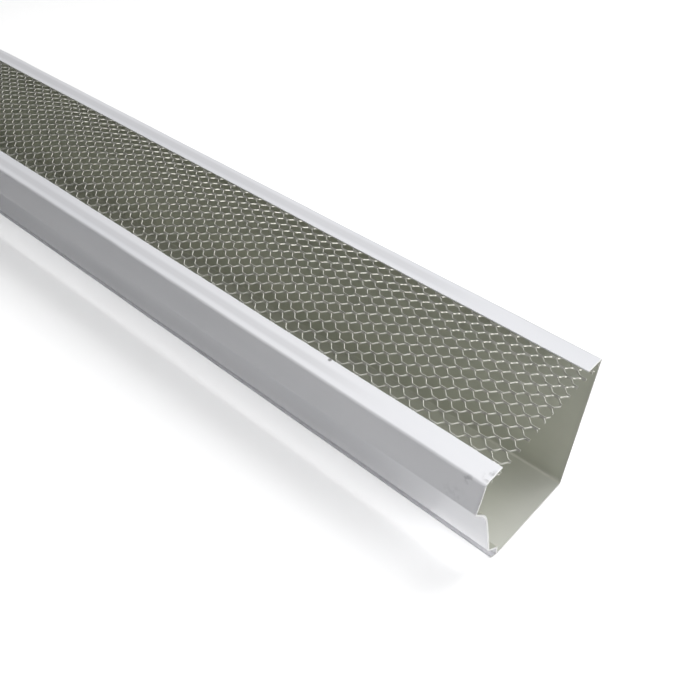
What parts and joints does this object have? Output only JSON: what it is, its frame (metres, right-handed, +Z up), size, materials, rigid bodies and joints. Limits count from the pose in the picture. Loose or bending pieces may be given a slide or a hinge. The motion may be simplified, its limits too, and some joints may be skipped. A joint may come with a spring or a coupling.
{
  "type": "gutter guard",
  "caption": "Length of white roll-formed gutter with an expanded-metal mesh guard tucked under its front lip and back flange to keep leaves out.",
  "frame": {"origin": "centre of the gutter's footprint, on the level of its bottom", "axes": "+X along the gutter, +Y towards the back wall that goes against the fascia, +Z up"},
  "size_m": [0.9144, 0.1118, 0.102],
  "materials": {
    "gutter_paint": "satin",
    "guard_metal": "satin"
  },
  "bodies": {
    "root": {"gutter_trough": "gutter_paint", "mesh_guard_1": "guard_metal", "mesh_guard_2": "guard_metal", "mesh_guard_3": "guard_metal", "mesh_guard_4": "guard_metal", "mesh_guard_5": "guard_metal", "mesh_guard_6": "guard_metal"}
  },
  "joints": []
}
